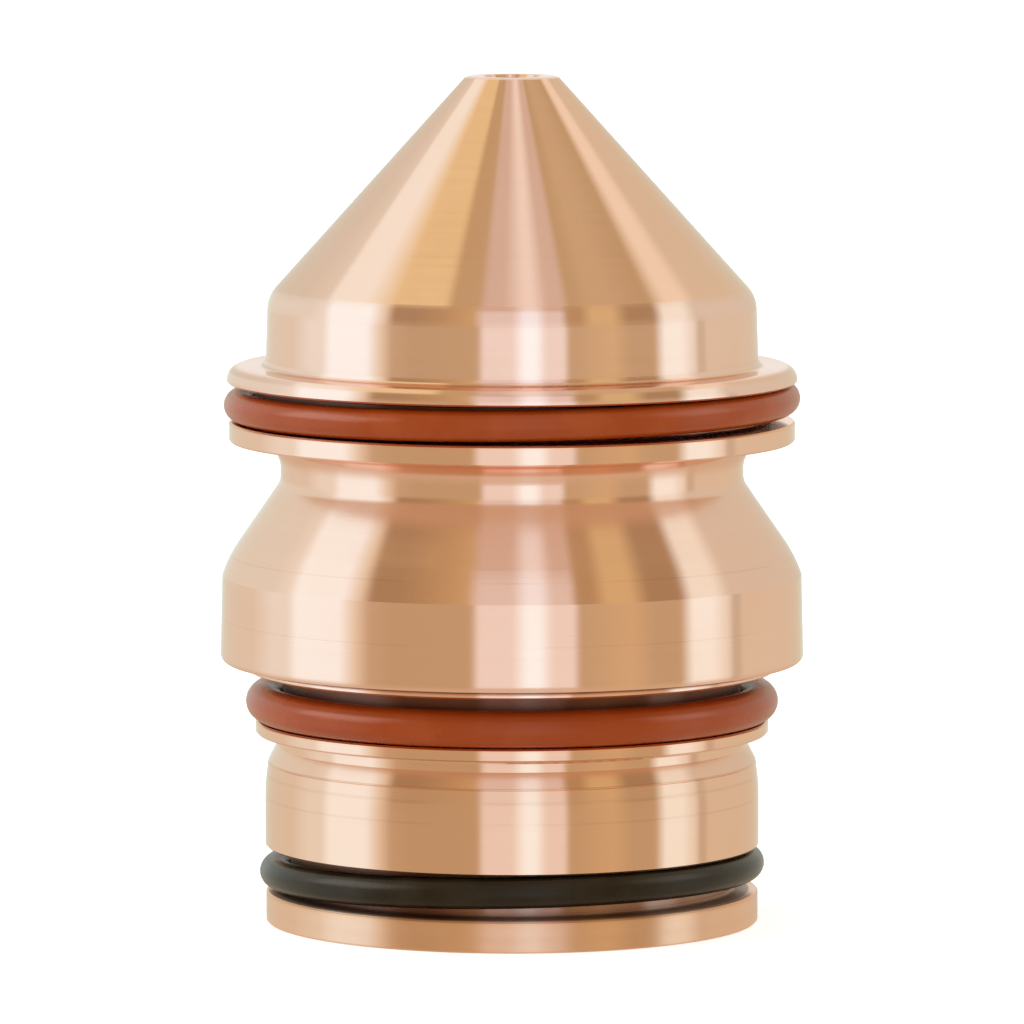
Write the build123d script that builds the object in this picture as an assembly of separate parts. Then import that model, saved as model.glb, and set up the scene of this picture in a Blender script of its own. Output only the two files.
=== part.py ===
from build123d import *
import os
from math import asin, degrees, radians, tan

# Nozzle of a plasma cutting torch: one turned copper body and three seal rings.
# Millimetres. Z is the turning axis, the rear rim stands on Z = 0 and the tip points up.
# The bulge is the widest surface. Each depth is a cut in from it, on the radius.

# Rear rim and the lowest groove
rim_depth = 2.33
rim_height = 1.6
lower_groove_depth = 3.62

# Skirt: the plain pilot above the lowest groove, crowned towards its top
skirt_depth = 2.285
skirt_height = 3.1
skirt_top_depth = 2.43
skirt_taper_height = 1.2
skirt_crown_radius = 9.0

# Waist under the middle lip, flared out to the skirt, with a fine relief line at its foot
relief_line_width = 0.12
relief_line_cut = 0.06
flare_foot_depth = 2.45
flare_height = 0.78
waist_depth = 2.85
waist_height = 0.63

# Lip that carries the middle seal ring, and the groove above it
middle_lip_depth = 1.8
middle_lip_height = 0.67
middle_groove_depth = 3.22

# Bulge, with a short foot and a rounded shallow chamfer below. Above its upper edge the shoulder
# leads off at a small angle and curves over into the slope that runs down to the neck.
bulge_diameter = 30.0
bulge_height = 4.36
bulge_foot_depth = 1.45
bulge_foot_height = 0.2
bulge_chamfer_height = 0.37
bulge_corner_radius = 0.38
bulge_top_depth = 0.1
shoulder_lead_angle = 19.0
shoulder_lead_height = 0.92
shoulder_angle = 34.5
shoulder_radius = 6.7
neck_radius = 0.9
neck_depth = 3.1
neck_height = 2.08

# Lip that carries the upper seal ring, the groove above it and the flange over that
upper_lip_depth = 0.46
upper_lip_height = 1.03
upper_groove_depth = 1.82
flange_depth = 0.35
flange_height = 0.87
flange_edge_radius = 0.72

# Collar and cone in front of the flange
collar_foot_radius = 0.35
collar_depth = 2.34
collar_height = 3.53
collar_top_depth = 2.46
cone_corner_radius = 1.7
cone_half_angle = 42.0
tip_diameter = 4.74

# Seal rings: cord section, and free play along the groove
lower_seal_section = 1.6
lower_seal_play = 0.72
middle_seal_section = 1.9
middle_seal_play = 0.65
upper_seal_section = 1.6
upper_seal_play = 0.38

# How the two leaning rings lie: share of the play taken up, and the side that is low in degrees
lower_lean_share = 0.94
lower_low_side = 130.0
upper_lean_share = 0.94
upper_low_side = 180.0

# Passage through the body, from the rear mouth to the orifice in the tip
rear_wall = 1.88
rear_bore_depth = 14.0
rear_mouth_chamfer = 0.5
electrode_seat_width = 1.7
chamber_depth = 15.4
converging_half_angle = 40.0
orifice_diameter = 2.2
exit_diameter = 2.9
exit_half_angle = 45.0

# Fits, edges and inner corners
seal_seat_gap = 0.02
seal_rest_gap = 0.01
edge_break = 0.09
tool_radius = 0.2


def cut_to(depth):
    """Diameter that is left by a cut of this depth into the bulge's surface."""
    return bulge_diameter - 2 * depth


def rise(diameter, to_diameter, half_angle):
    """Height in which a cone of this half angle goes from one diameter to another."""
    return abs(to_diameter - diameter) / 2 / tan(radians(half_angle))


# Diameters of the outside, from the rear rim up
rim_diameter = cut_to(rim_depth)
lower_floor_diameter = cut_to(lower_groove_depth)
skirt_diameter = cut_to(skirt_depth)
skirt_top_diameter = cut_to(skirt_top_depth)
flare_foot_diameter = cut_to(flare_foot_depth)
relief_line_diameter = flare_foot_diameter - 2 * relief_line_cut
waist_diameter = cut_to(waist_depth)
middle_lip_diameter = cut_to(middle_lip_depth)
middle_floor_diameter = cut_to(middle_groove_depth)
bulge_foot_diameter = cut_to(bulge_foot_depth)
bulge_top_diameter = cut_to(bulge_top_depth)
shoulder_diameter = bulge_top_diameter - 2 * shoulder_lead_height * tan(radians(shoulder_lead_angle))
neck_diameter = cut_to(neck_depth)
upper_lip_diameter = cut_to(upper_lip_depth)
upper_floor_diameter = cut_to(upper_groove_depth)
flange_diameter = cut_to(flange_depth)
collar_diameter = cut_to(collar_depth)
collar_top_diameter = cut_to(collar_top_depth)

# Diameters of the passage: a wall is left behind the lowest groove, and a seat behind the chamber
rear_bore_diameter = lower_floor_diameter - 2 * rear_wall
chamber_diameter = rear_bore_diameter - 2 * electrode_seat_width

# Rings and grooves: a ring's bore follows its groove's floor, a groove's width its ring and play
lower_seal_bore = lower_floor_diameter + 2 * seal_seat_gap
middle_seal_bore = middle_floor_diameter + 2 * seal_seat_gap
upper_seal_bore = upper_floor_diameter + 2 * seal_seat_gap
lower_groove_width = lower_seal_section + lower_seal_play
middle_groove_width = middle_seal_section + middle_seal_play
upper_groove_width = upper_seal_section + upper_seal_play

# Heights of the stations, stacked from the rear rim up
rim_top = rim_height
skirt_bottom = rim_top + lower_groove_width
skirt_taper = skirt_bottom + skirt_height
skirt_top = skirt_taper + skirt_taper_height
flare_bottom = skirt_top + relief_line_width
flare_top = flare_bottom + flare_height
middle_lip_bottom = flare_top + waist_height
middle_lip_top = middle_lip_bottom + middle_lip_height
bulge_foot = middle_lip_top + middle_groove_width
bulge_chamfer = bulge_foot + bulge_foot_height
bulge_bottom = bulge_chamfer + bulge_chamfer_height
bulge_top = bulge_bottom + bulge_height
shoulder_bend = bulge_top + shoulder_lead_height
neck_bottom = shoulder_bend + rise(shoulder_diameter, neck_diameter, shoulder_angle)
upper_lip_bottom = neck_bottom + neck_height
upper_lip_top = upper_lip_bottom + upper_lip_height
flange_bottom = upper_lip_top + upper_groove_width
flange_top = flange_bottom + flange_height
collar_top = flange_top + collar_height
tip_top = collar_top + rise(collar_top_diameter, tip_diameter, cone_half_angle)

# Heights in the passage: the chamber stands on the rear bore, the exit hangs from the tip
chamber_bottom = rear_bore_depth
chamber_top = chamber_bottom + chamber_depth
orifice_bottom = chamber_top + rise(chamber_diameter, orifice_diameter, converging_half_angle)
exit_bottom = tip_top - rise(orifice_diameter, exit_diameter, exit_half_angle)


def flat_profile(stations):
    """A face with X as the radius and Y as the height, from (diameter, height) stations."""
    points = [(diameter / 2, height) for diameter, height in stations]
    return make_face(Polyline(*points, close=True))


def turned(face):
    """The solid that a flat profile sweeps around the axis."""
    return revolve(Plane.XZ * face, Axis.Z, 360)


def corner(face, diameter, height):
    """The corner of a flat profile at one station."""
    return face.vertices().sort_by_distance((diameter / 2, height, 0))[0]


def eased(face, diameter, height, radius):
    """Rounds one corner, with a radius no larger than its two walls have room for."""
    point = corner(face, diameter, height)
    first, second = face.edges().sort_by_distance(point)[0:2]
    turn = (first @ 0.5 - Vector(point)).get_angle(second @ 0.5 - Vector(point))
    room = min(first.length, second.length) * tan(radians(turn / 2))
    return fillet(point, min(radius, 0.95 * room))


def skirt_stations():
    """Rim, lowest groove, and the skirt with its taper."""
    return [
        (rim_diameter, 0),
        (rim_diameter, rim_top),
        (lower_floor_diameter, rim_top),
        (lower_floor_diameter, skirt_bottom),
        (skirt_diameter, skirt_bottom),
        (skirt_diameter, skirt_taper),
        (skirt_top_diameter, skirt_top),
    ]


def waist_stations():
    """Relief line, flare, waist, middle lip and middle groove."""
    return [
        (relief_line_diameter, skirt_top + relief_line_width / 2),
        (flare_foot_diameter, flare_bottom),
        (waist_diameter, flare_top),
        (waist_diameter, middle_lip_bottom),
        (middle_lip_diameter, middle_lip_bottom),
        (middle_lip_diameter, middle_lip_top),
        (middle_floor_diameter, middle_lip_top),
        (middle_floor_diameter, bulge_foot),
    ]


def bulge_stations():
    """Foot and chamfer under the bulge, the bulge, its shoulder and the neck."""
    return [
        (bulge_foot_diameter, bulge_foot),
        (bulge_foot_diameter, bulge_chamfer),
        (bulge_diameter, bulge_bottom),
        (bulge_top_diameter, bulge_top),
        (shoulder_diameter, shoulder_bend),
        (neck_diameter, neck_bottom),
        (neck_diameter, upper_lip_bottom),
    ]


def flange_stations():
    """Upper lip, upper groove and flange."""
    return [
        (upper_lip_diameter, upper_lip_bottom),
        (upper_lip_diameter, upper_lip_top),
        (upper_floor_diameter, upper_lip_top),
        (upper_floor_diameter, flange_bottom),
        (flange_diameter, flange_bottom),
        (flange_diameter, flange_top),
        (collar_diameter, flange_top),
    ]


def nose_stations():
    """Collar, cone and tip."""
    return [
        (collar_top_diameter, collar_top),
        (tip_diameter, tip_top),
    ]


def with_curves(face):
    """Rounds the outside's drawn corners: crown, bulge, shoulder, neck, flange and cone corner."""
    face = eased(face, skirt_diameter, skirt_taper, skirt_crown_radius)
    face = eased(face, bulge_diameter, bulge_bottom, bulge_corner_radius)
    face = eased(face, shoulder_diameter, shoulder_bend, shoulder_radius)
    face = eased(face, neck_diameter, neck_bottom, neck_radius)
    face = eased(face, flange_diameter, flange_top, flange_edge_radius)
    face = eased(face, collar_diameter, flange_top, collar_foot_radius)
    return eased(face, collar_top_diameter, collar_top, cone_corner_radius)


def with_tool_corners(face):
    """Leaves the turning tool's nose radius in the grooves and under the two lips."""
    inner_corners = [
        (lower_floor_diameter, rim_top),
        (lower_floor_diameter, skirt_bottom),
        (waist_diameter, middle_lip_bottom),
        (middle_floor_diameter, middle_lip_top),
        (middle_floor_diameter, bulge_foot),
        (neck_diameter, upper_lip_bottom),
        (upper_floor_diameter, upper_lip_top),
        (upper_floor_diameter, flange_bottom),
    ]
    for diameter, height in inner_corners:
        face = eased(face, diameter, height, tool_radius)
    return face


def with_broken_edges(face):
    """Takes the sharpness off the outer edges."""
    outer_edges = [
        (rim_diameter, 0),
        (rim_diameter, rim_top),
        (skirt_diameter, skirt_bottom),
        (middle_lip_diameter, middle_lip_bottom),
        (middle_lip_diameter, middle_lip_top),
        (bulge_foot_diameter, bulge_foot),
        (upper_lip_diameter, upper_lip_bottom),
        (upper_lip_diameter, upper_lip_top),
        (flange_diameter, flange_bottom),
        (tip_diameter, tip_top),
    ]
    return chamfer([corner(face, diameter, height) for diameter, height in outer_edges], edge_break)


def outer_form():
    """The body's outside, from the rear rim to the tip, as one turned solid."""
    stations = [(0, 0)]
    stations += skirt_stations()
    stations += waist_stations()
    stations += bulge_stations()
    stations += flange_stations()
    stations += nose_stations()
    stations += [(0, tip_top)]
    outline = with_broken_edges(flat_profile(stations))
    return turned(with_tool_corners(with_curves(outline)))


def passage():
    """The way through the body: rear bore, seat, chamber, converging cone, orifice and exit."""
    stations = [
        (0, 0),
        (rear_bore_diameter + 2 * rear_mouth_chamfer, 0),
        (rear_bore_diameter, rear_mouth_chamfer),
        (rear_bore_diameter, rear_bore_depth),
        (chamber_diameter, chamber_bottom),
        (chamber_diameter, chamber_top),
        (orifice_diameter, orifice_bottom),
        (orifice_diameter, exit_bottom),
        (exit_diameter, tip_top),
        (0, tip_top),
    ]
    return turned(flat_profile(stations))


def seal_ring(bore, section, height, lean=0, low_side=0):
    """A round-cord ring around the axis at a height, leaning down to one side by some degrees."""
    ring = Torus((bore + section) / 2, section / 2)
    return Pos(0, 0, height) * Rot(0, 0, low_side) * Rot(0, lean, 0) * ring


def lean_in_groove(bore, section, play, share):
    """Degrees that a ring leans when it takes up a share of its play along the groove."""
    return degrees(asin(share * play / (bore + section)))


def nozzle_body():
    """The copper body."""
    return outer_form() - passage()


def upper_o_ring():
    """Ring between the upper lip and the flange."""
    middle = (upper_lip_top + flange_bottom) / 2
    lean = lean_in_groove(upper_seal_bore, upper_seal_section, upper_seal_play, upper_lean_share)
    return seal_ring(upper_seal_bore, upper_seal_section, middle, lean, upper_low_side)


def middle_o_ring():
    """Ring under the bulge, lying flat on the middle lip."""
    middle = middle_lip_top + seal_rest_gap + middle_seal_section / 2
    return seal_ring(middle_seal_bore, middle_seal_section, middle)


def lower_o_ring():
    """Ring between the rear rim and the skirt."""
    middle = (rim_top + skirt_bottom) / 2
    lean = lean_in_groove(lower_seal_bore, lower_seal_section, lower_seal_play, lower_lean_share)
    return seal_ring(lower_seal_bore, lower_seal_section, middle, lean, lower_low_side)


os.makedirs("parts", exist_ok=True)
for piece in (nozzle_body, upper_o_ring, middle_o_ring, lower_o_ring):
    export_step(piece(), f"parts/{piece.__name__}.step")
    print("wrote", piece.__name__)
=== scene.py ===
# %% [markdown]
# # A plasma torch nozzle in turned copper, with three O-rings
#
# This lesson dresses a machined part in materials and light. The copper body and
# the three rings come from the CAD model with their true sizes, so nothing is
# modelled a second time. What is left to do is what a photographer and a finisher
# would do: the metal gets its lathe marks, the rubber its moulded skin, and the
# set gets a soft tent and two lamps that show the shape.
#
# Everything is in metres. The nozzle stands on the floor at height zero, its axis
# is the world's Z axis, and the camera looks along +Y.

from math import cos, pi, radians, sin

import bpy
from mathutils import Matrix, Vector


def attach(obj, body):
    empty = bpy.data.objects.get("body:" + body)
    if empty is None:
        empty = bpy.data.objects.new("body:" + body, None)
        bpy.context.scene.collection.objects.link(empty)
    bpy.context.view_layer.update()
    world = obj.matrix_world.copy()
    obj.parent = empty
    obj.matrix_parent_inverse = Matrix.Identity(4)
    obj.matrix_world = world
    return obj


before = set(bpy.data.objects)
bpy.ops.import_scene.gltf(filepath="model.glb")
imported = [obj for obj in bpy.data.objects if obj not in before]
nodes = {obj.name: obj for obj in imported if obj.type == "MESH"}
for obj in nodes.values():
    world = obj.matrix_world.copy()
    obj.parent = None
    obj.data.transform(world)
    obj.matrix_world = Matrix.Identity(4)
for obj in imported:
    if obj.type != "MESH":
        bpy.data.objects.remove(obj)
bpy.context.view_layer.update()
print("pieces from the CAD model:", sorted(nodes))

# %% [markdown]
# ## A small helper for shader nodes
#
# Shader graphs are long to write by hand, because every sum is a node of its own.
# The class below wraps one output socket, as a wire that comes out of it. Adding
# or multiplying two wires makes the Math node and its links, so a formula reads
# like a formula. Sums of plain numbers never reach the graph, because Python works
# them out.


# %% A wire that does arithmetic
class Wire:
    """One output socket of a node tree. Arithmetic on it adds Math nodes."""

    # The Mix node has its own sockets for each kind: first, second and result.
    mix_sockets = {"RGBA": (6, 7, 2), "VECTOR": (4, 5, 1)}

    def __init__(self, tree, socket=None):
        """A wire with no socket is the start of a graph: it only makes nodes."""
        self.tree = tree
        self.socket = socket

    def node(self, kind, settings=None, inputs=None):
        """Makes any node: the settings first, then its sockets' values and links."""
        made = self.tree.nodes.new(kind)
        for name, value in (settings or {}).items():
            setattr(made, name, value)
        for key, value in (inputs or {}).items():
            if isinstance(value, Wire):
                self.tree.links.new(value.socket, made.inputs[key])
            else:
                made.inputs[key].default_value = value
        return made

    def make(self, kind, settings=None, inputs=None, out=0):
        """Makes any node and wraps one of its outputs."""
        return Wire(self.tree, self.node(kind, settings, inputs).outputs[out])

    def math(self, operation, *others):
        """A Math node with this wire as its first value."""
        values = dict(enumerate((self, *others)))
        return self.make("ShaderNodeMath", {"operation": operation}, values)

    def vector(self, operation, *others, out="Vector"):
        """A Vector Math node with this wire as its first value."""
        values = dict(enumerate((self, *others)))
        return self.make("ShaderNodeVectorMath", {"operation": operation}, values, out)

    def scaled(self, size):
        """This vector times a number or a wire."""
        values = {0: self, "Scale": size}
        return self.make("ShaderNodeVectorMath", {"operation": "SCALE"}, values)

    def parts(self):
        """The three numbers of a vector, each as a wire."""
        made = self.node("ShaderNodeSeparateXYZ", inputs={0: self})
        return [Wire(self.tree, socket) for socket in made.outputs]

    def blend(self, low, high, kind="RGBA"):
        """A mix of two colours or vectors. This wire is the share of the second."""
        first, second, result = self.mix_sockets[kind]
        values = {0: self, first: low, second: high}
        return self.make("ShaderNodeMix", {"data_type": kind}, values, result)

    def rise(self, start, end):
        """Goes smoothly from 0 at start to 1 at end."""
        settings = {"interpolation_type": "SMOOTHSTEP"}
        values = {"Value": self, "From Min": start, "From Max": end}
        return self.make("ShaderNodeMapRange", settings, values)

    def fall(self, start, end):
        """Goes smoothly from 1 at start to 0 at end."""
        return 1.0 - self.rise(start, end)

    def between(self, low, high):
        """1 between two numbers and 0 elsewhere, with hard edges."""
        return self.math("GREATER_THAN", low) * self.math("LESS_THAN", high)

    def ramp(self, stops):
        """A colour read from a strip, with stops as pairs of place and colour."""
        made = self.node("ShaderNodeValToRGB", inputs={0: self})
        strip = made.color_ramp
        for place, colour in stops[1:-1]:
            strip.elements.new(place).color = (*colour, 1)
        strip.elements[0].position = stops[0][0]
        strip.elements[0].color = (*stops[0][1], 1)
        strip.elements[-1].position = stops[-1][0]
        strip.elements[-1].color = (*stops[-1][1], 1)
        return Wire(self.tree, made.outputs[0])

    def noise(self, scale, detail):
        """A soft random value from 0 to 1 at each point of this vector."""
        values = {"Vector": self, "Scale": scale, "Detail": detail}
        return self.make("ShaderNodeTexNoise", inputs=values)

    def __add__(self, other):
        return self.math("ADD", other)

    def __radd__(self, other):
        return self.math("ADD", other)

    def __sub__(self, other):
        return self.math("SUBTRACT", other)

    def __rsub__(self, other):
        return self.math("MULTIPLY_ADD", -1.0, other)

    def __mul__(self, other):
        return self.math("MULTIPLY", other)

    def __rmul__(self, other):
        return self.math("MULTIPLY", other)

    def __truediv__(self, other):
        return self.math("DIVIDE", other)

    def __neg__(self):
        return self.math("MULTIPLY", -1.0)


def new_material(name):
    """An empty material and the start of its graph."""
    material = bpy.data.materials.new(name)
    material.use_nodes = True
    material.node_tree.nodes.clear()
    return material, Wire(material.node_tree)


def show(start, shader):
    """Ends a material's graph: the shader is what the surface shows."""
    start.node("ShaderNodeOutputMaterial", inputs={"Surface": shader})


print("helper ready: Wire")

# %% [markdown]
# ## Turned copper
#
# The body is turned on a lathe from a copper bar. A lathe tool leaves very fine
# grooves that run round the axis, so the metal spreads a reflection along the
# height and keeps it sharp across. The shader's Anisotropic setting does the same
# with no texture at all, and its tangent runs round Z when nothing is linked.
#
# Nearly every mark and tone below is placed by two numbers, the height and the
# distance from the axis, so each one is a ring on the walls, the shoulder and the
# cone alike.

# %% Where a point lies on the body
copper, start = new_material("turned_copper")
place = start.make("ShaderNodeTexCoord", out="Object")
flat = place.vector("MULTIPLY", (1.0, 1.0, 0.0))
radius = flat.vector("LENGTH", out="Value")
x, _, z = place.parts()


def band(low, high, soft=0.00005):
    """1 between two heights in metres, 0 elsewhere."""
    return z.rise(low - soft, low + soft) * z.fall(high - soft, high + soft)


print("height and radius ready for:", copper.name)

# %% [markdown]
# The marks that an eye can still tell apart are random values along the tool's
# path, fine ones and broad ones. The path goes down the walls and out over the
# slopes, so both numbers add to it. Slow noises stand for the smudges that fingers
# and storage leave on bare copper.

# %% Tool marks and smudges
outward_share = 0.8
along = z - radius * outward_share


def rings(per_metre, seed):
    """Random values from 0 to 1 that change along the tool's path only."""
    values = {"W": along * per_metre + seed, "Scale": 1.0, "Detail": 2.0, "Roughness": 0.6}
    return start.make("ShaderNodeTexNoise", {"noise_dimensions": "1D"}, values)


fine = rings(9000.0, seed=3.0)
broad = rings(1500.0, seed=40.0)
smudge = place.noise(160.0, detail=3.0)
grain = place.noise(1400.0, detail=2.0)
print("random values: fine, broad, smudge, grain")

# %% [markdown]
# ## The tones of the copper
#
# Bare copper isn't one colour. Below the flange it takes a darker, redder tone,
# the bulge a little less of it, and the cone a little. The skirt is a deeper tone,
# and the rim, which stands on the table, is the reddest: both are painted
# reflection, standing in for the dim, warm table that the lowest walls mirror.
#
# The undersides of the two lips and the fine relief over the skirt were cut last
# and never touched, so they are fresh and pale. That matters more than it seems:
# light that bounces between two copper faces takes their colour twice, and redder
# undersides would throw an orange band on the walls below them.

# %% Clean, darker and fresh copper, and painted table reflection low down
clean_copper = (0.955, 0.638, 0.538, 1)
darker_copper = (0.932, 0.592, 0.468, 1)
skirt_table_reflection = (0.90, 0.555, 0.415, 1)
rim_table_reflection = (0.99, 0.60, 0.43, 1)

below_flange = z.fall(0.0262, 0.0272)
cone = z.rise(0.0318, 0.0330)
bulge = z.rise(0.0128, 0.0134) * z.fall(0.0176, 0.0184)
skirt = z.rise(0.0016, 0.0024) * z.fall(0.0100, 0.0106)
rim = z.fall(0.0014, 0.0020)

# A darker, redder share below the flange, less on the bulge and a little on the cone.
darker_share = below_flange * 0.85 + cone * 0.35 - bulge * 0.2
wandering = smudge.rise(0.42, 0.75) * 0.3 + (broad - 0.5) * 0.3 + (fine - 0.5) * 0.4
tone = (wandering + darker_share).blend(clean_copper, darker_copper)
# Painted reflection: the skirt and rim tones stand in for the dim, warm table mirrored near
# the base.
tone = (skirt * 0.8).blend(tone, skirt_table_reflection)
tone = rim.blend(tone, rim_table_reflection)
print("tones: clean, handled, skirt, rim")

# %% Fresh copper under the lips
fresh_copper = (0.87, 0.76, 0.67, 1)
upper_lip = z.rise(0.02476, 0.02479) * z.fall(0.02484, 0.02486)
upper_lip = upper_lip * radius.rise(0.0121, 0.0123) * radius.fall(0.01440, 0.01446)
middle_lip = band(0.00972, 0.00977)
middle_lip = middle_lip * radius.rise(0.01225, 0.01235) * radius.fall(0.01304, 0.01310)
relief = band(0.00823, 0.00833) * radius.fall(0.01250, 0.01254)
tone = (upper_lip + middle_lip + relief * 0.8).blend(tone, fresh_copper)
print("tones: fresh, under two lips and in the relief")

# %% [markdown]
# A few single lines stand out on the skirt, the bulge and the shoulder, where a
# chip or a feed mark has scored the wall. A slow noise breaks them, so none goes
# all the way round. The three edges that lie against a ring get a painted
# reflection of it, a warmer tone: there the metal sees little but the ring and itself.

# %% Scored lines and painted ring reflection on three edges
scored_copper = (0.55, 0.28, 0.20, 1)
ring_reflection_colour = (0.99, 0.50, 0.28, 1)
scored_at = [
    (0.00652, 0.00006),
    (0.00761, 0.00008),
    (0.01577, 0.00003),
    (0.01895, 0.00004),
]
scored_edge = 0.00003
scored = sum(band(height - half, height + half, scored_edge) for height, half in scored_at)
scored = scored * place.noise(150.0, detail=2.0).rise(0.38, 0.55)
tone = (scored * 0.14).blend(tone, scored_copper)

# Painted reflection of the rings: a warmer tone on the three edges that lie against them.
painted_ring_reflection = band(0.02570, 0.02590) + band(0.01024, 0.01040) + band(0.00142, 0.00158)
tone = (painted_ring_reflection * 0.6).blend(tone, ring_reflection_colour)
print("scored lines:", len(scored_at))

# %% [markdown]
# The metal isn't equally bright everywhere: marks and smudges let its roughness
# wander a little, and the rim is plainly rougher than the turned walls.

# %% Roughness
turned_rough = 0.13
rim_rough = 0.25
rough = (broad - 0.5) * 0.06 + (smudge - 0.5) * 0.06 + (grain - 0.5) * 0.04
rough = rough + rim * rim_rough + turned_rough
print("roughness of the walls:", turned_rough)

# %% [markdown]
# The ring grooves get a dark red-brown painted shade, where the lips and the rings
# keep light out, and the red in it is a painted reflection of the red rings. The
# upper and middle grooves are dark all the way round. In the lowest one the painted
# shade is heavier at the left, so more copper shows through at the front and
# right. The grooves are found by their heights and by how near the axis they are.

# %% Painted shade in the three grooves
painted_groove_shade = (0.17, 0.055, 0.036, 1)
left = (-x).rise(0.0005, 0.0045)
wall_edge = 0.00005
grooves = [
    # lowest height, highest height, reach from the axis, share of painted shade
    (0.01038, 0.01300, 0.0127, 1.0),
    (0.02640, 0.02785, 0.0140, 1.0),
    (0.02585, 0.02640, 0.0140, 0.6),
    (0.00156, 0.00396, 0.0122, left * 0.30 + 0.68),
]
groove_shade_share = sum(
    band(low, high) * radius.fall(reach - wall_edge, reach + wall_edge) * share
    for low, high, reach, share in grooves
)
# Painted shade in the grooves, dark red-brown; its red is a painted reflection of the red
# rings.
tone = (groove_shade_share * 0.93).blend(tone, painted_groove_shade)
rough = groove_shade_share * 0.12 + rough
print("bands of grease:", len(grooves))

# %% [markdown]
# A turned surface never leans to the side: its normal always lies in the plane
# through the axis. The mesh has long thin triangles beside each small fillet, and
# there its normals lean a little, which a mirror finish shows as a row of teeth.
# So the graph takes the sideways share out of the normal before the bump adds the
# tool marks.

# %% Normals that keep to the plane through the axis
around = flat.vector("CROSS_PRODUCT", (0.0, 0.0, 1.0)).vector("NORMALIZE")
facing = start.make("ShaderNodeNewGeometry", out="Normal")
lean = facing.vector("DOT_PRODUCT", around, out="Value")
upright = facing.vector("SUBTRACT", around.scaled(lean)).vector("NORMALIZE")
outward = flat.vector("NORMALIZE")
print("normals kept upright")

# %% [markdown]
# Two corners are too small for the mesh to show them round: the hollow one at the
# foot of the collar and the lower edge of the bulge. Both are quarter circles that
# lie below the centre of their arc, so their true normal is simple: it points to
# the centre in a hollow corner, and away from it on an edge.


# %% Two small round corners
def round_corner(before, from_axis, height, size, hollow, worn=0.0):
    """The normals of a quarter circle, and the ones from before elsewhere.

    from_axis and height place the centre of its arc, and size is its radius.
    worn leans the normals outward, as on an edge that is worn off.
    """
    centre = outward.scaled(from_axis).vector("ADD", (0.0, 0.0, height))
    normal = centre.vector("SUBTRACT", place) if hollow else place.vector("SUBTRACT", centre)
    normal = normal.vector("ADD", outward.scaled(worn)).vector("NORMALIZE")
    aside = from_axis - radius if hollow else radius - from_axis
    drop = height - z
    margin, reach = 0.00001, size * 1.03
    corner = aside.between(-margin, reach) * drop.between(-margin, reach)
    return corner.blend(before, normal, "VECTOR")


upright = round_corner(upright, 0.01301, 0.029034, 0.00035, hollow=True)
upright = round_corner(upright, 0.01462, 0.013835, 0.00038, hollow=False, worn=0.00025)
print("round corners: foot of the collar, lower edge of the bulge")

# %% [markdown]
# Now the shader. Anisotropic Rotation is a quarter turn, which sends the blur up
# and down the wall, and the tint keeps the metal from turning white where it is
# seen at a flat angle. The bump is only a few thousandths of a millimetre deep,
# for a mirror finish shows even that.

# %% The copper shader
mark_depth = 0.0000021
quarter_turn = 0.25
flat_angle_tint = (0.94, 0.90, 0.86, 1)
grooved = start.make(
    "ShaderNodeBump",
    inputs={
        "Strength": 1.0,
        "Distance": mark_depth,
        "Height": fine * 0.8 + broad * 0.4 - scored * 1.2,
        "Normal": upright,
    },
)
shader = start.make(
    "ShaderNodeBsdfPrincipled",
    inputs={
        "Base Color": tone,
        "Metallic": 1.0,
        "Roughness": rough,
        "Anisotropic": 1.0,
        "Anisotropic Rotation": quarter_turn,
        "Specular Tint": flat_angle_tint,
        "Normal": grooved,
    },
)
show(start, shader)
print("made:", copper.name)

# %% [markdown]
# ## The hollow under the upper lip
#
# The neck doesn't meet the upper lip in a sharp corner. The tool that cuts it has a
# round nose and leaves a hollow, which shows as a warm band with no card in it. The
# CAD body has a small corner there, so one ring of copper fills it: a quarter of a
# circle, hollow side out, turned about the axis. Its other sides lie in the copper.

# %% The hollow's cross-section
neck_radius = 0.01190
lip_underside = 0.02483
hollow_radius = 0.00143
sunk = 0.000006
buried = 0.0003
arc_steps = 24

section = []
for i in range(arc_steps + 1):
    angle = radians(90.0 * i / arc_steps)
    out = neck_radius - sunk + hollow_radius * (1.0 - cos(angle))
    section.append((out, lip_underside - hollow_radius * (1.0 - sin(angle))))
section.append((neck_radius - buried, lip_underside))
section.append((neck_radius - buried, lip_underside - hollow_radius))
print("points in the section:", len(section))

# %% Turn it about the axis
turn_steps = 256
count = len(section)
points, faces = [], []
for k in range(turn_steps):
    turned = 2.0 * pi * k / turn_steps
    points += [(out * cos(turned), out * sin(turned), height) for out, height in section]
    here, there = k * count, (k + 1) % turn_steps * count
    for i in range(count):
        j = (i + 1) % count
        faces.append((here + i, there + i, there + j, here + j))

hollow_mesh = bpy.data.meshes.new("lip_hollow")
hollow_mesh.from_pydata(points, [], faces)
hollow_mesh.shade_smooth()
hollow_mesh.set_sharp_from_angle(angle=radians(40.0))
hollow_mesh.materials.append(copper)
hollow = bpy.data.objects.new("lip_hollow", hollow_mesh)
bpy.context.scene.collection.objects.link(hollow)
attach(hollow, "root")
print("made:", hollow.name, len(faces), "faces")

# %% [markdown]
# ## Moulded rubber
#
# O-rings are pressed in a two-part mould. The mould is ground, not polished, so
# the skin is nearly matt with a soft sheen, and a little dust and grease sits on
# it. One function makes both rubbers, because only the colour and the sheen
# differ: the red one is silicone and the black one is plain nitrile rubber.

# %% Red silicone and black rubber
grain_depth = 0.000012
warm_sheen = (1.0, 0.80, 0.66, 1)


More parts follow.
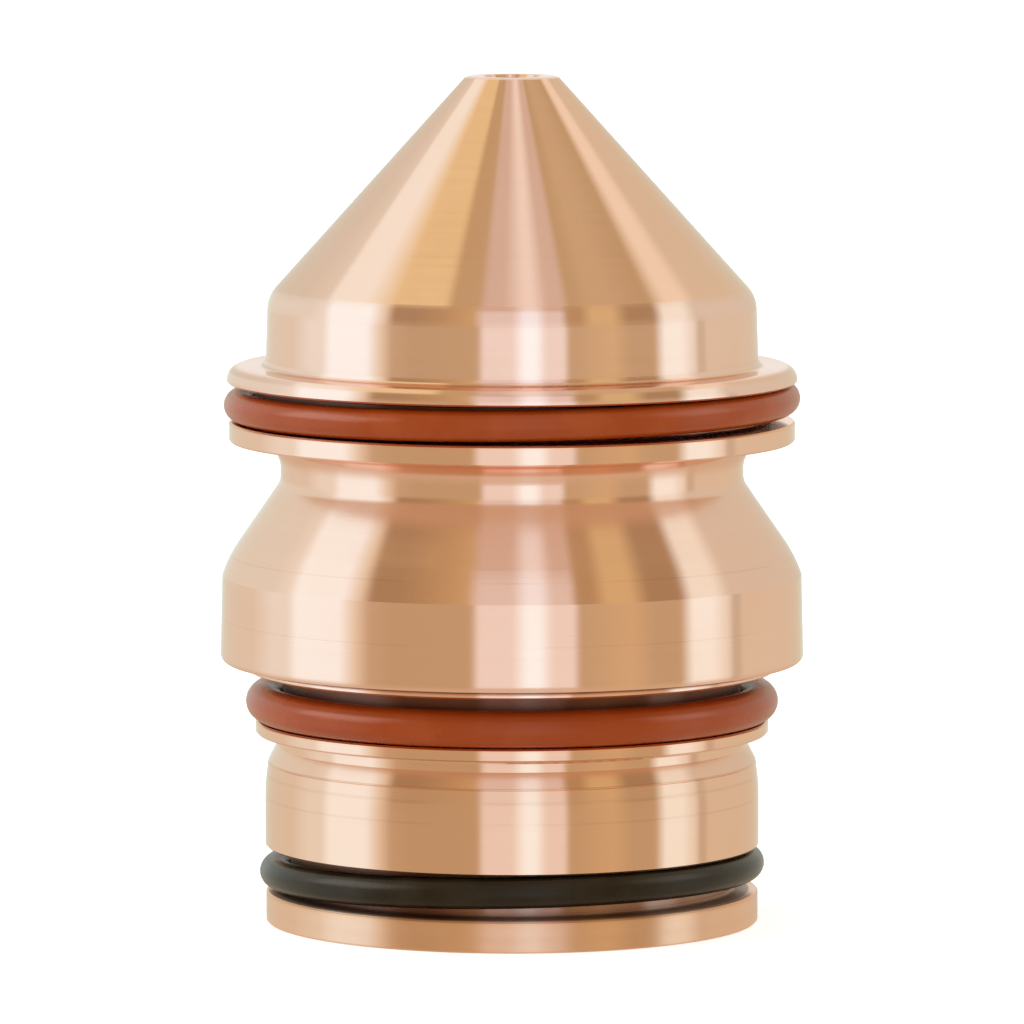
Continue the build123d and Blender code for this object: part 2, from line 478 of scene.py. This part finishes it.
def moulded_rubber(name, colour, dusty, roughness, specular):
    """A rubber skin with mould grain and a veil of dust."""
    material, start = new_material(name)
    point = start.make("ShaderNodeTexCoord", out="Object")
    patch = point.noise(420.0, detail=3.0)
    values = {
        "Strength": 0.6,
        "Distance": grain_depth,
        "Height": point.noise(5200.0, detail=3.0),
    }
    skin = start.make("ShaderNodeBump", inputs=values)
    shader = start.make(
        "ShaderNodeBsdfPrincipled",
        inputs={
            "Base Color": (patch.rise(0.40, 0.75) * 0.5).blend((*colour, 1), (*dusty, 1)),
            "Roughness": (patch - 0.5) * 0.16 + roughness,
            "Specular IOR Level": specular,
            "Specular Tint": warm_sheen,
            "IOR": 1.42,
            "Normal": skin,
        },
    )
    show(start, shader)
    print("made:", material.name)
    return material


red = (0.315, 0.044, 0.004)
red_dusty = (0.38, 0.068, 0.012)
black = (0.014, 0.009, 0.004)
black_dusty = (0.034, 0.025, 0.015)
red_silicone = moulded_rubber("red_silicone_skin", red, red_dusty, 0.26, 0.55)
black_rubber = moulded_rubber("black_rubber_skin", black, black_dusty, 0.28, 0.36)

# %% [markdown]
# ## Putting the finishes on the CAD pieces
#
# Each CAD piece keeps its shape and its material slots. Only what is in the slot
# changes.

# %% Finish every CAD piece
finishes = {
    "nozzle_body": copper,
    "upper_o_ring": red_silicone,
    "middle_o_ring": red_silicone,
    "lower_o_ring": black_rubber,
}
for name, finish in finishes.items():
    for slot in nodes[name].material_slots:
        print(name, "slot", slot.material.name, "->", finish.name)
        slot.material = finish

# %% [markdown]
# ## The camera
#
# A product photographer stands well back with a long lens, so that the ring
# edges stay nearly straight. The frame is 53 mm wide at the nozzle and the camera
# looks down by 5.8 degrees, which opens the ring edges into thin ellipses.

# %% Set up the camera
tilt = radians(5.8)
aim = Vector((0.0, 0.0, 0.02108))
distance = 0.52171
sensor_width = 36.0
frame_pixels = 1024.0
focal_pixels = 10150.0
back = Vector((0.0, -cos(tilt), sin(tilt)))
camera_data = bpy.data.cameras.new("camera")
camera_data.sensor_width = sensor_width
camera_data.lens = sensor_width * focal_pixels / frame_pixels
camera_data.clip_start = 0.01
camera_data.clip_end = 20.0
camera = bpy.data.objects.new("camera", camera_data)
camera.location = aim + back * distance
camera.rotation_euler = (-back).to_track_quat("-Z", "Y").to_euler()
bpy.context.scene.collection.objects.link(camera)
bpy.context.scene.camera = camera
print("camera at", [round(c, 4) for c in camera.location])

# %% [markdown]
# ## The tent that the metal mirrors
#
# Bare metal shows its surroundings and little else. In a studio, a part like this
# stands in a tent of white cloth with a few cards hung in it: a white softbox at
# each side, a pale panel behind the camera, and gold card in between, which makes
# the warm bands.
#
# Here the tent is one large sphere that only reflections can see. Its colour
# depends on the direction, and its cards are listed by an angle: that of the wall
# of the nozzle which mirrors them to the camera, with 0 for the wall that faces
# it. This first row is what the upright walls mirror.

# %% The row of cards for upright walls
cloth_far = (0.76, 0.88, 0.82)
cloth_left = (0.80, 0.84, 0.73)
cloth_right = (0.77, 0.76, 0.61)
softbox_fold = (0.90, 1.04, 1.00)
softbox_left = (1.05, 1.35, 1.45)
softbox_edge = (0.84, 0.84, 0.68)
softbox_right = (1.03, 1.27, 1.28)
softbox_dim = (0.90, 0.96, 0.86)
seam = (0.64, 0.62, 0.49)
gold_edge = (0.62, 0.53, 0.36)
gold_left = (0.58, 0.485, 0.30)
gold_right = (0.60, 0.51, 0.32)
gold_warm = (0.70, 0.58, 0.345)
panel = (0.93, 0.98, 0.96)
core = (1.08, 1.42, 1.56)
hung = [
    (-90, cloth_far),
    (-86, cloth_far),
    (-79, cloth_left),
    (-62, cloth_left),
    (-55, softbox_fold),
    (-50, softbox_fold),
    (-47, softbox_left),
    (-36, softbox_left),
    (-32, softbox_edge),
    (-29, gold_edge),
    (-24, gold_left),
    (-8, gold_left),
    (-6.5, panel),
    (0, panel),
    (3, core),
    (5.5, core),
    (8, panel),
    (12, panel),
    (13.5, gold_right),
    (24, gold_warm),
    (29, gold_right),
    (35, gold_right),
    (38, softbox_right),
    (43, softbox_right),
    (47.5, softbox_dim),
    (49, seam),
    (50.5, seam),
    (52, cloth_right),
    (76, cloth_right),
    (90, cloth_far),
]
print("stops in the row for upright walls:", len(hung))

# %% [markdown]
# A wall that leans back, such as the shoulder's, mirrors what hangs higher up. The
# gold is deeper there, and the panel ends in a dimmer part, which only the
# steepest piece of the shoulder sees.

# %% The row of cards for leaning walls
tilted_cloth_left = (0.83, 0.94, 0.88)
tilted_softbox_right = (0.97, 1.13, 1.08)
tilted_cloth_right = (0.75, 0.77, 0.67)
shaded_gold = (0.43, 0.325, 0.19)
deep_gold = (0.51, 0.38, 0.205)
amber_gold = (0.64, 0.50, 0.26)
rich_gold = (0.72, 0.60, 0.32)
lit_panel = (0.81, 0.80, 0.77)
lit_core = (1.00, 1.20, 1.34)
dim_panel = (0.67, 0.54, 0.435)
dim_core = (0.89, 0.92, 0.92)
tilted = [
    (-90, tilted_cloth_left),
    (-55, tilted_cloth_left),
    (-50, softbox_fold),
    (-47, softbox_left),
    (-35, softbox_left),
    (-31, softbox_edge),
    (-28.5, shaded_gold),
    (-23, shaded_gold),
    (-17, deep_gold),
    (-9, amber_gold),
    (-6.5, lit_panel),
    (0, lit_panel),
    (3, lit_core),
    (5.5, lit_core),
    (8, lit_panel),
    (11.5, lit_panel),
    (13, deep_gold),
    (16, deep_gold),
    (19, rich_gold),
    (24, rich_gold),
    (28, shaded_gold),
    (35, shaded_gold),
    (38, tilted_softbox_right),
    (44, tilted_softbox_right),
    (48, tilted_cloth_right),
    (90, tilted_cloth_right),
]
panel_end = {lit_panel: dim_panel, lit_core: dim_core}
steeper = [(angle, panel_end.get(colour, colour)) for angle, colour in tilted]
print("stops in the row for leaning walls:", len(tilted))

# %% [markdown]
# The cone leans by more than 40 degrees, so it mirrors the tent's roof. The cards
# reach up there too, only softer and warmer, with the light of the whole tent on
# them.

# %% The row of cards for the cone
roof_cloth = (0.74, 0.79, 0.70)
roof_fold = (0.80, 0.87, 0.78)
roof_left = (0.98, 1.14, 1.08)
roof_gold = (0.88, 0.80, 0.46)
roof_shade = (0.575, 0.48, 0.275)
roof_panel = (0.70, 0.64, 0.54)
roof_core = (0.93, 0.95, 0.88)
roof_gold_right = (0.62, 0.53, 0.33)
roof_right = (0.93, 0.92, 0.74)
roof_cloth_right = (0.74, 0.72, 0.55)
overhead = [
    (-90, roof_cloth),
    (-62, roof_cloth),
    (-51, roof_fold),
    (-49, roof_left),
    (-38, roof_left),
    (-29, roof_gold),
    (-16.5, roof_gold),
    (-14, roof_shade),
    (-8, roof_shade),
    (-6, roof_panel),
    (-2, roof_panel),
    (3, roof_core),
    (5, roof_core),
    (8.5, roof_panel),
    (12, roof_panel),
    (14, roof_shade),
    (19, roof_gold_right),
    (28, roof_gold_right),
    (35, roof_shade),
    (40, roof_right),
    (46, roof_right),
    (50, roof_cloth_right),
    (66, roof_cloth_right),
    (90, roof_cloth),
]
print("stops in the row for the cone:", len(overhead))

# %% [markdown]
# For each direction the graph finds the wall that would mirror it to the camera:
# its normal is the middle between that direction and the direction to the camera.
# The normal's turn round the axis picks the place in a row, and its lean picks the
# row, so the strips hang at the same angle round every step of the nozzle, which
# is how upright cards look in a turned part.
#
# Walls that lean forward mirror the table in front, which glows warmer than the
# cloth. The cloth runs into it slowly, but the panel ends in a sharp foot.

# %% Hang the cards in the tent
ceiling = (0.95, 0.96, 0.93, 1)
warm_table = (0.70, 0.58, 0.42, 1)

tent_material, start = new_material("tent_cloth")
direction = start.make("ShaderNodeTexCoord", out="Object").vector("NORMALIZE")
half_way = direction.vector("ADD", tuple(back)).vector("NORMALIZE")
half_x, half_y, lift = half_way.parts()
turn = half_x.math("ARCTAN2", -half_y) / pi + 0.5


def place_in_row(angle):
    """The place in a row, from 0 to 1, of an angle round the nozzle in degrees."""
    return (angle + 90.0) / 180.0


def row(cards):
    """The colours of one row of cards."""
    return turn.ramp([(place_in_row(angle), colour) for angle, colour in cards])


def leaning(slope, low, high):
    """Goes from 0 to 1 between two leans of the wall, in degrees from upright."""
    return slope.rise(sin(radians(low)), sin(radians(high)))


cards = leaning(lift, 4, 12).blend(row(hung), row(tilted))
cards = leaning(lift, 31.5, 32.5).blend(cards, row(steeper))
cards = leaning(lift, 36, 40).blend(cards, row(overhead))
cards = leaning(lift, 55, 75).blend(cards, ceiling)

panel_starts = turn.rise(place_in_row(-8.5), place_in_row(-7))
panel_stops = turn.rise(place_in_row(12), place_in_row(13.5))
panel_foot = leaning(-lift, 8, 11)
table = leaning(-lift, 4, 30)
table = (panel_starts - panel_stops) * (panel_foot - table) + table
cards = (table * 0.8).blend(cards, warm_table)
cloth = start.make("ShaderNodeEmission", inputs={"Color": cards, "Strength": 1.0})
show(start, cloth)
tent_material.cycles.emission_sampling = "NONE"
print("made:", tent_material.name)

# %% Put up the tent
tent_radius = 2.0
bpy.ops.mesh.primitive_uv_sphere_add(segments=64, ring_count=32, radius=tent_radius)
tent = bpy.context.object
tent.name = "tent"
tent.data.materials.append(tent_material)
for rays in ("camera", "diffuse", "transmission", "volume_scatter", "shadow"):
    setattr(tent, "visible_" + rays, False)
print("made:", tent.name)

# %% [markdown]
# ## The table
#
# The floor is a plain white table, large enough that its edge is out of sight. It
# is white by its own colour, so the nozzle's soft shadow still shows on it. The
# metal doesn't mirror the floor, because the lower half of the tent stands for the
# table there, with a warmer tone than clean white.
#
# Seen from below, the table is clear, as a glass top would be, so the bore can be
# looked at. It lies a hair under the rim, for two faces in one place would flicker.

# %% Lay the table
direct_rays = ("Is Camera Ray", "Is Glossy Ray", "Is Transmission Ray")


def grey(level):
    """A grey with no colour in it."""
    return (level, level, level, 1)


def seen_directly(start):
    """1 where the camera looks, also in a mirror or through glass, and 0 elsewhere."""
    rays = start.node("ShaderNodeLightPath")
    return sum(Wire(start.tree, rays.outputs[name]) for name in direct_rays)


floor_material, start = new_material("white_table")
direct = seen_directly(start)
table_top = start.make(
    "ShaderNodeBsdfPrincipled",
    inputs={
        "Base Color": direct.blend(grey(0.92), grey(1.0)),
        "Roughness": 0.9,
        "Specular IOR Level": 0.0,
        "Emission Color": direct.blend(grey(0.0), grey(0.34)),
        "Emission Strength": 1.0,
    },
)
from_below = start.make("ShaderNodeNewGeometry", out="Backfacing")
clear = start.make("ShaderNodeBsdfTransparent")
top = start.make("ShaderNodeMixShader", inputs={0: from_below, 1: table_top, 2: clear})
show(start, top)

floor_size = 3.0
hair = 0.00002
bpy.ops.mesh.primitive_plane_add(size=floor_size)
floor = bpy.context.object
floor.name = "floor"
floor.location.z = -hair
floor.data.materials.append(floor_material)
floor.visible_glossy = False
print("made:", floor.name)

# %% [markdown]
# ## The world and two soft lamps
#
# The world is white where the camera, a reflection or a clear material looks at
# it, and a plain even light everywhere else. That is enough for the metal, which
# only mirrors. The rubber and the table need a direction of light, so two soft
# lamps stand at the sides, the left one stronger, and are linked to them alone.

# %% Light the world
even_light = 0.90
world = bpy.data.worlds.new("studio")
world.use_nodes = True
world.node_tree.nodes.clear()
world.cycles.sampling_method = "NONE"
start = Wire(world.node_tree)
shade = seen_directly(start).blend(grey(even_light), grey(1.0))
sky = start.make("ShaderNodeBackground", inputs={"Color": shade, "Strength": 1.0})
start.node("ShaderNodeOutputWorld", inputs={"Surface": sky})
bpy.context.scene.world = world
print("made:", world.name)

# %% Stand two lamps at the sides
lamp_lit = bpy.data.collections.new("lit_by_lamps")
for piece in (nodes["upper_o_ring"], nodes["middle_o_ring"], nodes["lower_o_ring"], floor):
    lamp_lit.objects.link(piece)


def soft_lamp(name, place, wide, high, power):
    """A lamp that turns to the nozzle and lights only the rubber and the table."""
    data = bpy.data.lights.new(name, "AREA")
    data.shape = "RECTANGLE"
    data.size = wide
    data.size_y = high
    data.energy = power
    lamp = bpy.data.objects.new(name, data)
    lamp.location = place
    lamp.rotation_euler = (aim - Vector(place)).to_track_quat("-Z", "Y").to_euler()
    lamp.visible_camera = False
    lamp.light_linking.receiver_collection = lamp_lit
    bpy.context.scene.collection.objects.link(lamp)
    print("made:", lamp.name)


soft_lamp("left_lamp", (-0.64, -0.05, 0.40), 0.6, 0.4, 1.9)
soft_lamp("right_lamp", (0.64, -0.05, 0.40), 0.4, 0.4, 0.7)

# %% [markdown]
#
# The Standard view shows colours as they were mixed.

# %% Show colours as they were mixed
bpy.context.scene.view_settings.view_transform = "Standard"
